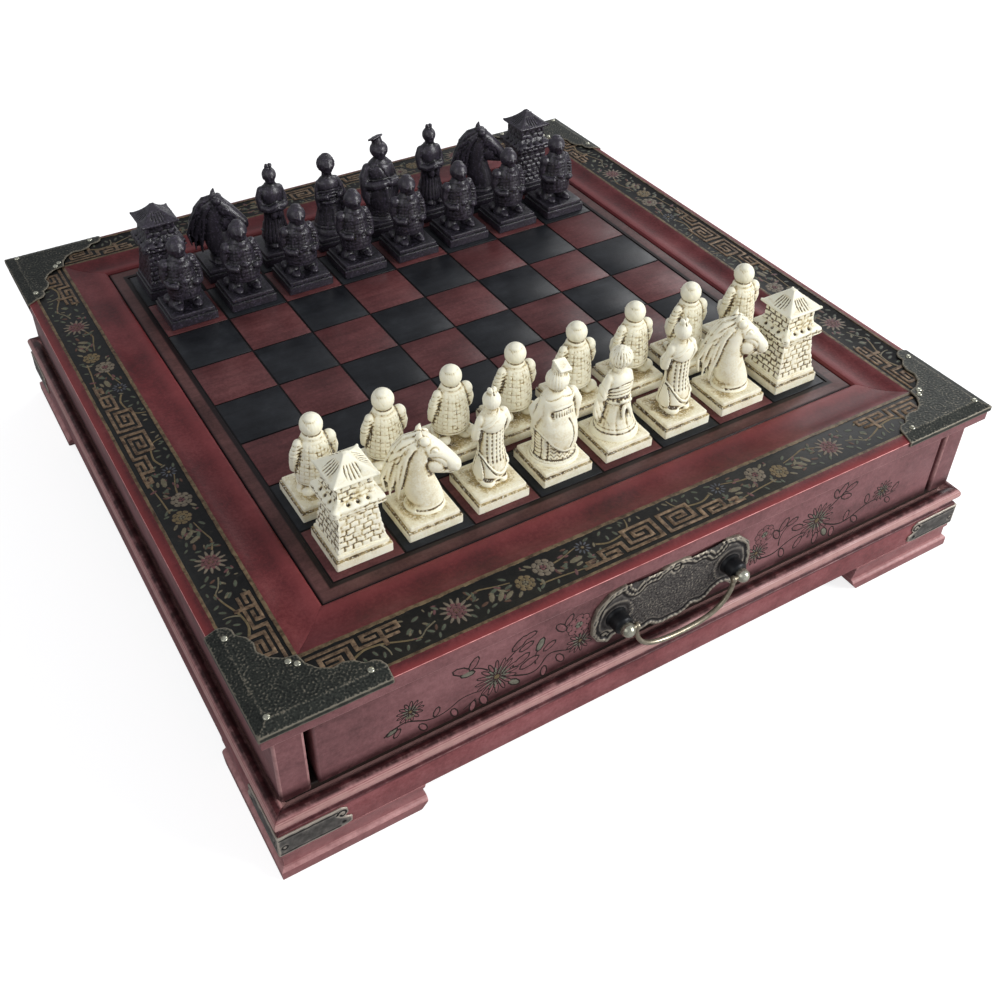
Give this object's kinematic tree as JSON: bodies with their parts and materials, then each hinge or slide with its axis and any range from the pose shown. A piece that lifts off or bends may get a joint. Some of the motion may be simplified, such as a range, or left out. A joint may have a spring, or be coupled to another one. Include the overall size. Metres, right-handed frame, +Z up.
{
  "type": "chess set with drawer case",
  "caption": "Red lacquered chess case: a bordered playing board over front and rear drawers with bail pulls, brass corners and bracket feet, set with light and dark carved men.",
  "frame": {"origin": "on the floor, under the middle of the case", "axes": "+Z up, -Y towards the light men and the drawer seen in the picture, +X to the right of someone who faces that drawer"},
  "size_m": [0.2604, 0.2708, 0.1038],
  "materials": {
    "red_lacquer": "aged semi-gloss red lacquer with gold ornament on a black band",
    "board_lacquer": "semi-gloss lacquer, squares red and black in turn",
    "bare_wood": "plain stained wood",
    "antique_brass": "dark antiqued brass, rubbed bright on the edges",
    "light_resin": "ivory cast resin with brown antiquing in the hollows",
    "dark_resin": "black-brown cast resin, satin"
  },
  "bodies": {
    "case": {"frame_rail_front": "red_lacquer", "frame_rail_right": "red_lacquer", "frame_rail_back": "red_lacquer", "frame_rail_left": "red_lacquer", "playing_board": "board_lacquer", "corner_plates": "antique_brass", "corner_nails": "antique_brass", "side_board_left": "red_lacquer", "side_board_right": "red_lacquer", "floor_board": "bare_wood", "middle_board": "bare_wood", "plinth_rail_front": "red_lacquer", "plinth_rail_right": "red_lacquer", "plinth_rail_back": "red_lacquer", "plinth_rail_left": "red_lacquer", "foot_front_left": "red_lacquer", "foot_front_right": "red_lacquer", "foot_back_left": "red_lacquer", "foot_back_right": "red_lacquer", "corner_straps": "antique_brass"},
    "front_drawer": {"front_drawer_face": "red_lacquer", "front_drawer_tray": "bare_wood", "front_pull_plate": "antique_brass"},
    "front_bail": {"front_bail": "antique_brass"},
    "rear_drawer": {"rear_drawer_face": "red_lacquer", "rear_drawer_tray": "bare_wood", "rear_pull_plate": "antique_brass"},
    "rear_bail": {"rear_bail": "antique_brass"},
    "light_rook_left": {"light_rook_left": "light_resin"},
    "light_knight_left": {"light_knight_left": "light_resin"},
    "light_bishop_left": {"light_bishop_left": "light_resin"},
    "light_king": {"light_king": "light_resin"},
    "light_queen": {"light_queen": "light_resin"},
    "light_bishop_right": {"light_bishop_right": "light_resin"},
    "light_knight_right": {"light_knight_right": "light_resin"},
    "light_rook_right": {"light_rook_right": "light_resin"},
    "light_pawn_1": {"light_pawn_1": "light_resin"},
    "light_pawn_2": {"light_pawn_2": "light_resin"},
    "light_pawn_3": {"light_pawn_3": "light_resin"},
    "light_pawn_4": {"light_pawn_4": "light_resin"},
    "light_pawn_5": {"light_pawn_5": "light_resin"},
    "light_pawn_6": {"light_pawn_6": "light_resin"},
    "light_pawn_7": {"light_pawn_7": "light_resin"},
    "light_pawn_8": {"light_pawn_8": "light_resin"},
    "dark_rook_left": {"dark_rook_left": "dark_resin"},
    "dark_knight_left": {"dark_knight_left": "dark_resin"},
    "dark_bishop_left": {"dark_bishop_left": "dark_resin"},
    "dark_king": {"dark_king": "dark_resin"},
    "dark_queen": {"dark_queen": "dark_resin"},
    "dark_bishop_right": {"dark_bishop_right": "dark_resin"},
    "dark_knight_right": {"dark_knight_right": "dark_resin"},
    "dark_rook_right": {"dark_rook_right": "dark_resin"},
    "dark_pawn_1": {"dark_pawn_1": "dark_resin"},
    "dark_pawn_2": {"dark_pawn_2": "dark_resin"},
    "dark_pawn_3": {"dark_pawn_3": "dark_resin"},
    "dark_pawn_4": {"dark_pawn_4": "dark_resin"},
    "dark_pawn_5": {"dark_pawn_5": "dark_resin"},
    "dark_pawn_6": {"dark_pawn_6": "dark_resin"},
    "dark_pawn_7": {"dark_pawn_7": "dark_resin"},
    "dark_pawn_8": {"dark_pawn_8": "dark_resin"}
  },
  "joints": [
    {"name": "front_drawer_slide", "type": "slide", "parent": "case", "child": "front_drawer", "axis": [0, -1, 0], "range_m": [0, 0.09]},
    {"name": "front_bail_hinge", "type": "hinge", "parent": "front_drawer", "child": "front_bail", "pos_m": [0.0025, -0.13318, 0.0432], "axis": [-1, 0, 0], "range_deg": [0, 110]},
    {"name": "rear_drawer_slide", "type": "slide", "parent": "case", "child": "rear_drawer", "axis": [0, 1, 0], "range_m": [0, 0.09]},
    {"name": "rear_bail_hinge", "type": "hinge", "parent": "rear_drawer", "child": "rear_bail", "pos_m": [-0.0025, 0.13318, 0.0432], "axis": [1, 0, 0], "range_deg": [0, 110]},
    {"name": "light_rook_left_lift", "type": "slide", "parent": "case", "child": "light_rook_left", "axis": [0, 0, 1], "range_m": [0, 0.06]},
    {"name": "light_knight_left_lift", "type": "slide", "parent": "case", "child": "light_knight_left", "axis": [0, 0, 1], "range_m": [0, 0.06]},
    {"name": "light_bishop_left_lift", "type": "slide", "parent": "case", "child": "light_bishop_left", "axis": [0, 0, 1], "range_m": [0, 0.06]},
    {"name": "light_king_lift", "type": "slide", "parent": "case", "child": "light_king", "axis": [0, 0, 1], "range_m": [0, 0.06]},
    {"name": "light_queen_lift", "type": "slide", "parent": "case", "child": "light_queen", "axis": [0, 0, 1], "range_m": [0, 0.06]},
    {"name": "light_bishop_right_lift", "type": "slide", "parent": "case", "child": "light_bishop_right", "axis": [0, 0, 1], "range_m": [0, 0.06]},
    {"name": "light_knight_right_lift", "type": "slide", "parent": "case", "child": "light_knight_right", "axis": [0, 0, 1], "range_m": [0, 0.06]},
    {"name": "light_rook_right_lift", "type": "slide", "parent": "case", "child": "light_rook_right", "axis": [0, 0, 1], "range_m": [0, 0.06]},
    {"name": "light_pawn_1_lift", "type": "slide", "parent": "case", "child": "light_pawn_1", "axis": [0, 0, 1], "range_m": [0, 0.06]},
    {"name": "light_pawn_2_lift", "type": "slide", "parent": "case", "child": "light_pawn_2", "axis": [0, 0, 1], "range_m": [0, 0.06]},
    {"name": "light_pawn_3_lift", "type": "slide", "parent": "case", "child": "light_pawn_3", "axis": [0, 0, 1], "range_m": [0, 0.06]},
    {"name": "light_pawn_4_lift", "type": "slide", "parent": "case", "child": "light_pawn_4", "axis": [0, 0, 1], "range_m": [0, 0.06]},
    {"name": "light_pawn_5_lift", "type": "slide", "parent": "case", "child": "light_pawn_5", "axis": [0, 0, 1], "range_m": [0, 0.06]},
    {"name": "light_pawn_6_lift", "type": "slide", "parent": "case", "child": "light_pawn_6", "axis": [0, 0, 1], "range_m": [0, 0.06]},
    {"name": "light_pawn_7_lift", "type": "slide", "parent": "case", "child": "light_pawn_7", "axis": [0, 0, 1], "range_m": [0, 0.06]},
    {"name": "light_pawn_8_lift", "type": "slide", "parent": "case", "child": "light_pawn_8", "axis": [0, 0, 1], "range_m": [0, 0.06]},
    {"name": "dark_rook_left_lift", "type": "slide", "parent": "case", "child": "dark_rook_left", "axis": [0, 0, 1], "range_m": [0, 0.06]},
    {"name": "dark_knight_left_lift", "type": "slide", "parent": "case", "child": "dark_knight_left", "axis": [0, 0, 1], "range_m": [0, 0.06]},
    {"name": "dark_bishop_left_lift", "type": "slide", "parent": "case", "child": "dark_bishop_left", "axis": [0, 0, 1], "range_m": [0, 0.06]},
    {"name": "dark_king_lift", "type": "slide", "parent": "case", "child": "dark_king", "axis": [0, 0, 1], "range_m": [0, 0.06]},
    {"name": "dark_queen_lift", "type": "slide", "parent": "case", "child": "dark_queen", "axis": [0, 0, 1], "range_m": [0, 0.06]},
    {"name": "dark_bishop_right_lift", "type": "slide", "parent": "case", "child": "dark_bishop_right", "axis": [0, 0, 1], "range_m": [0, 0.06]},
    {"name": "dark_knight_right_lift", "type": "slide", "parent": "case", "child": "dark_knight_right", "axis": [0, 0, 1], "range_m": [0, 0.06]},
    {"name": "dark_rook_right_lift", "type": "slide", "parent": "case", "child": "dark_rook_right", "axis": [0, 0, 1], "range_m": [0, 0.06]},
    {"name": "dark_pawn_1_lift", "type": "slide", "parent": "case", "child": "dark_pawn_1", "axis": [0, 0, 1], "range_m": [0, 0.06]},
    {"name": "dark_pawn_2_lift", "type": "slide", "parent": "case", "child": "dark_pawn_2", "axis": [0, 0, 1], "range_m": [0, 0.06]},
    {"name": "dark_pawn_3_lift", "type": "slide", "parent": "case", "child": "dark_pawn_3", "axis": [0, 0, 1], "range_m": [0, 0.06]},
    {"name": "dark_pawn_4_lift", "type": "slide", "parent": "case", "child": "dark_pawn_4", "axis": [0, 0, 1], "range_m": [0, 0.06]},
    {"name": "dark_pawn_5_lift", "type": "slide", "parent": "case", "child": "dark_pawn_5", "axis": [0, 0, 1], "range_m": [0, 0.06]},
    {"name": "dark_pawn_6_lift", "type": "slide", "parent": "case", "child": "dark_pawn_6", "axis": [0, 0, 1], "range_m": [0, 0.06]},
    {"name": "dark_pawn_7_lift", "type": "slide", "parent": "case", "child": "dark_pawn_7", "axis": [0, 0, 1], "range_m": [0, 0.06]},
    {"name": "dark_pawn_8_lift", "type": "slide", "parent": "case", "child": "dark_pawn_8", "axis": [0, 0, 1], "range_m": [0, 0.06]}
  ]
}
